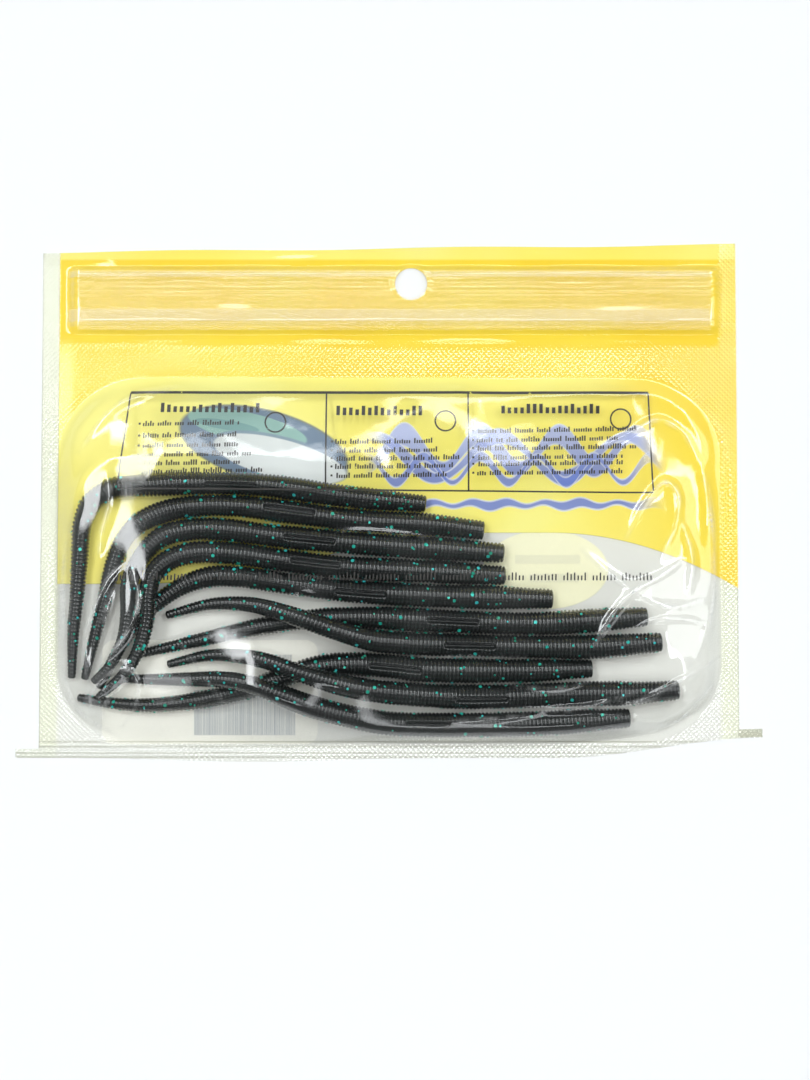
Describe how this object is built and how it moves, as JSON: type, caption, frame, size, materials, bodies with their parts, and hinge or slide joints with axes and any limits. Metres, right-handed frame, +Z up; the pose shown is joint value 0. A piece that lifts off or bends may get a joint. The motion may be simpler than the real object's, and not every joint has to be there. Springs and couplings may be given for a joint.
{
  "type": "soft plastic worm packet",
  "caption": "Ribbed soft plastic worms with coloured flakes, in a flat clear pouch with a press-to-close zip, a hang hole and a yellow printed back.",
  "frame": {"origin": "middle of the pouch's box, on the surface that its back film lies on", "axes": "+Z up out of the front film, +Y towards the zip and the hang hole, +X towards the worms' heads"},
  "size_m": [0.183, 0.1256, 0.0105],
  "materials": {
    "clear_film": "clear, glossy",
    "printed_film": "clear film with yellow print, glossy",
    "zip_plastic": "clear, satin",
    "size_sticker": "semi-gloss paper",
    "barcode_sticker": "semi-gloss paper",
    "worm_plastic": "soft, oily sheen with teal flakes"
  },
  "bodies": {
    "pouch": {"back_film": "printed_film", "front_film": "clear_film", "zip_groove_tape": "zip_plastic", "size_label": "size_sticker", "barcode_label": "barcode_sticker"},
    "lip": {"front_lip": "clear_film", "zip_ridge_tape": "zip_plastic"},
    "worm_01": {"worm_01": "worm_plastic"},
    "worm_02": {"worm_02": "worm_plastic"},
    "worm_03": {"worm_03": "worm_plastic"},
    "worm_04": {"worm_04": "worm_plastic"},
    "worm_05": {"worm_05": "worm_plastic"},
    "worm_06": {"worm_06": "worm_plastic"},
    "worm_07": {"worm_07": "worm_plastic"},
    "worm_08": {"worm_08": "worm_plastic"},
    "worm_09": {"worm_09": "worm_plastic"},
    "worm_10": {"worm_10": "worm_plastic"}
  },
  "joints": [
    {"name": "mouth_open", "type": "hinge", "parent": "pouch", "child": "lip", "pos_m": [0, 0.0404, 0.0004], "axis": [1, 0, 0], "range_deg": [0, 40]},
    {"name": "worm_01_slide", "type": "slide", "parent": "pouch", "child": "worm_01", "axis": [0, 1, 0], "range_m": [0, 0.006]},
    {"name": "worm_02_slide", "type": "slide", "parent": "pouch", "child": "worm_02", "axis": [0, 1, 0], "range_m": [0, 0.006]},
    {"name": "worm_03_slide", "type": "slide", "parent": "pouch", "child": "worm_03", "axis": [0, 1, 0], "range_m": [0, 0.006]},
    {"name": "worm_04_slide", "type": "slide", "parent": "pouch", "child": "worm_04", "axis": [0, 1, 0], "range_m": [0, 0.006]},
    {"name": "worm_05_slide", "type": "slide", "parent": "pouch", "child": "worm_05", "axis": [0, 1, 0], "range_m": [0, 0.006]},
    {"name": "worm_06_slide", "type": "slide", "parent": "pouch", "child": "worm_06", "axis": [0, 1, 0], "range_m": [0, 0.006]},
    {"name": "worm_07_slide", "type": "slide", "parent": "pouch", "child": "worm_07", "axis": [0, 1, 0], "range_m": [0, 0.006]},
    {"name": "worm_08_slide", "type": "slide", "parent": "pouch", "child": "worm_08", "axis": [0, 1, 0], "range_m": [0, 0.006]},
    {"name": "worm_09_slide", "type": "slide", "parent": "pouch", "child": "worm_09", "axis": [0, 1, 0], "range_m": [0, 0.006]},
    {"name": "worm_10_slide", "type": "slide", "parent": "pouch", "child": "worm_10", "axis": [0, 1, 0], "range_m": [0, 0.006]}
  ],
  "couplings": [
    {"joint": "worm_02_slide", "follows": "worm_01_slide", "ratio": 1},
    {"joint": "worm_03_slide", "follows": "worm_01_slide", "ratio": 1},
    {"joint": "worm_04_slide", "follows": "worm_01_slide", "ratio": 1},
    {"joint": "worm_05_slide", "follows": "worm_01_slide", "ratio": 1},
    {"joint": "worm_06_slide", "follows": "worm_01_slide", "ratio": 1},
    {"joint": "worm_07_slide", "follows": "worm_01_slide", "ratio": 1},
    {"joint": "worm_08_slide", "follows": "worm_01_slide", "ratio": 1},
    {"joint": "worm_09_slide", "follows": "worm_01_slide", "ratio": 1},
    {"joint": "worm_10_slide", "follows": "worm_01_slide", "ratio": 1}
  ]
}
